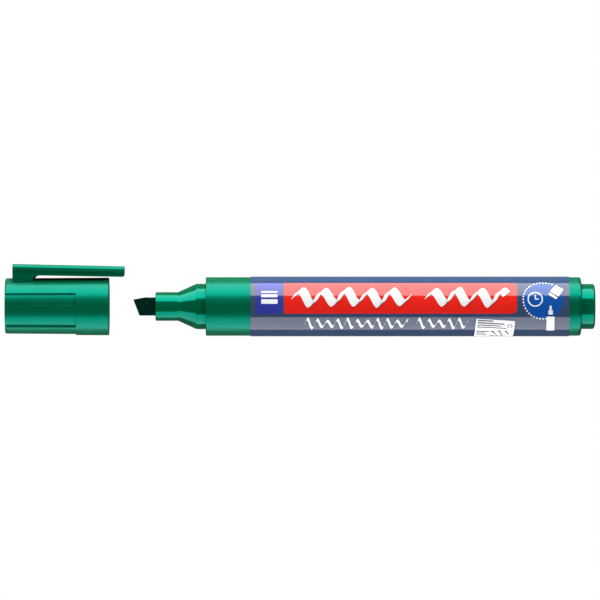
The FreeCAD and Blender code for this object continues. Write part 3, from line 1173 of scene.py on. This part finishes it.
def buildClip():
    size = clipSize
    start = closedX + size["rootStart"]
    rear = closedX + size["rootEnd"]

    # crowned top strip
    bm = bmesh.new()
    drawOutline(bm, [
        (start, size["step"]),
        (start, size["top"], size["rootTopRounding"]),
        (clipTipX, size["top"], size["tipTopRounding"]),
        (clipTipX, size["step"]),
    ])
    widen(bm, size["stripHalf"])
    crown = size["crown"]
    flatHalf = size["stripHalf"] - crown
    slices = 12
    for number in range(slices):
        reach = flatHalf + crown * math.sin(math.pi / 2 * number / slices)
        for side in (1, -1):
            bmesh.ops.bisect_plane(bm, geom=bm.verts[:] + bm.edges[:] + bm.faces[:], dist=cutDistance,
                                   plane_co=(0, side * reach, 0), plane_no=(0, 1, 0))
    for vert in bm.verts:
        across = min(max(abs(vert.co.y) - flatHalf, 0), crown)
        drop = crown - math.sqrt(crown ** 2 - across ** 2)
        thickness = size["top"] - size["step"]
        vert.co.z = size["step"] + (vert.co.z - size["step"]) * (1 - drop / thickness)
    lowEdges = [edge for edge in bm.edges if isLong(edge) and edge.verts[0].co.z < size["step"] + 0.01]
    bevelEdges(bm, lowEdges, size["edgeRounding"], 2)
    cleanMesh(bm)

    # web, seen from the side, and the root's post, whose rear corners are rounded
    sideEnd = rear - size["rootCorner"]
    inTop = size["step"] + size["lap"]
    web = bmesh.new()
    drawOutline(web, [
        (start, size["foot"]),
        (start, inTop),
        (clipTipX - size["inset"], inTop),
        (clipTipX - size["inset"], size["under"], size["tipCorner"]),
        (sideEnd, size["under"], size["rootCurve"]),
        (sideEnd, size["foot"]),
    ])
    widen(web, size["webHalf"])
    lowRim = [edge for edge in web.edges if onSide(edge, size["webHalf"])
              and edgeTop(edge) < size["step"] - 0.1 and edgeMiddle(edge).x > sideEnd + 0.05]
    bevelEdges(web, lowRim, size["underRounding"], 4)
    frontEdges = [edge for edge in web.edges if abs(edge.verts[0].co.y - edge.verts[1].co.y) < 0.01
                  and abs(edgeMiddle(edge).x - start) < 0.01]
    bevelEdges(web, frontEdges, size["frontRounding"], 3)
    cleanMesh(web)

    post = bmesh.new()
    postHalf = size["webHalf"] - size["inset"]
    postStart = start + size["postBack"]
    postEnd = rear + size["postCurve"] + size["postOver"]
    postUnder = size["under"] + size["postRise"]
    postFoot = size["foot"] + size["inset"]
    drawOutline(post, [
        (postStart, postFoot),
        (postStart, inTop),
        (postEnd, inTop),
        (postEnd, postUnder),
        (rear, postUnder, size["postCurve"]),
        (rear, postFoot),
    ])
    widen(post, postHalf)
    rearEdges = [edge for edge in post.edges if onSide(edge, postHalf)
                 and edgeMiddle(edge).x > rear - 0.01 and edgeMiddle(edge).z < size["under"] + 0.04]
    bevelEdges(post, rearEdges, size["rootCorner"], 6)
    cleanMesh(post)

    channelHalf = size["webHalf"] - size["webWall"]
    channel = makeBox((sideEnd + size["rootCurve"], -channelHalf, 0),
                      (clipTipX - size["tipWall"], channelHalf, size["step"] + size["channelRoof"]))
    bm = combine(bm, web, "UNION")
    bm = combine(bm, channel, "DIFFERENCE")
    bm = combine(bm, post, "UNION")

    # cross cuts along the arm, and the slight fall towards the tip
    cuts = round(clipTipX - start)
    for number in range(1, cuts):
        bmesh.ops.bisect_plane(bm, geom=bm.verts[:] + bm.edges[:] + bm.faces[:], dist=cutDistance,
                               plane_co=(start + (clipTipX - start) * number / cuts, 0, 0),
                               plane_no=(1, 0, 0))
    for vert in bm.verts:
        lifted = smoothShare((vert.co.z - size["fallStart"]) / size["fallRise"])
        height = smoothShare((vert.co.z - size["under"]) / (size["top"] - size["under"]))
        fall = size["underFall"] + (size["topFall"] - size["underFall"]) * height
        vert.co.z -= fall * lifted * (vert.co.x - start) / (clipTipX - start)
    cleanMesh(bm)
    piece = makePiece("clip", bm, satinGreen, None, ["clip_arm"], sharpAngle=34)
    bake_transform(piece)


sealSize = {
    "bore": 4.09,
    "wall": 0.9,
    "lipLength": 0.9,
    "lipFlare": 0.45,
    "base": 0.8,
    "floor": 0.6,
    "ringRadius": 6.34,
    "ringBack": 4.2,
    "ringLength": 1.2,
    "ribs": 6,
    "ribWidth": 0.9,
    "ribShift": (0.4, -0.2),     # along and across, from the middle of the space it fills
    "ribShort": 0.6,
}

sealLow, sealHigh = nodeBox("cap_seal")


def buildSeal():
    size = sealSize
    back = sealLow.x
    lip = sealHigh.x
    outer = size["bore"] + size["wall"]
    ring = lip - size["ringBack"]
    bm = spinOutline([
        (back, 0),
        (back, size["ringRadius"], 0.08),
        (back + size["base"], size["ringRadius"], 0.08),
        (back + size["base"], outer),
        (ring, outer),
        (ring, size["ringRadius"], 0.1),
        (ring + size["ringLength"], size["ringRadius"], 0.1),
        (ring + size["ringLength"], outer),
        (lip - size["lipLength"], outer),
        (lip, outer + size["lipFlare"], 0.12),
        (lip, outer),
        (lip - size["lipLength"], size["bore"], 0.1),
        (back + size["floor"], size["bore"]),
        (back + size["floor"], 0),
    ], closed=False)
    for number in range(size["ribs"]):
        place = Matrix.Rotation(math.tau * number / size["ribs"], 4, "X")
        middle = Vector(((back + ring) / 2 + size["ribShift"][0], 0,
                         (outer + size["ringRadius"]) / 2 + size["ribShift"][1]))
        shape = Matrix.Diagonal((ring - back - size["ribShort"], size["ribWidth"],
                                 size["ringRadius"] - outer, 1))
        bmesh.ops.create_cube(bm, size=1, matrix=place @ Matrix.Translation(middle) @ shape)
    makePiece("capSeal", bm, naturalPlastic, "cap_liner", ["cap_seal"])


buildCap()
buildClip()
buildSeal()


# parts that stay as the frame has them, out of sight inside the barrel

for node, material in (("ink_reservoir", reservoirFibre), ("reservoir_wrap", clearWrap)):
    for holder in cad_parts[node].material_slots:
        holder.material = material
print("all pieces ready")
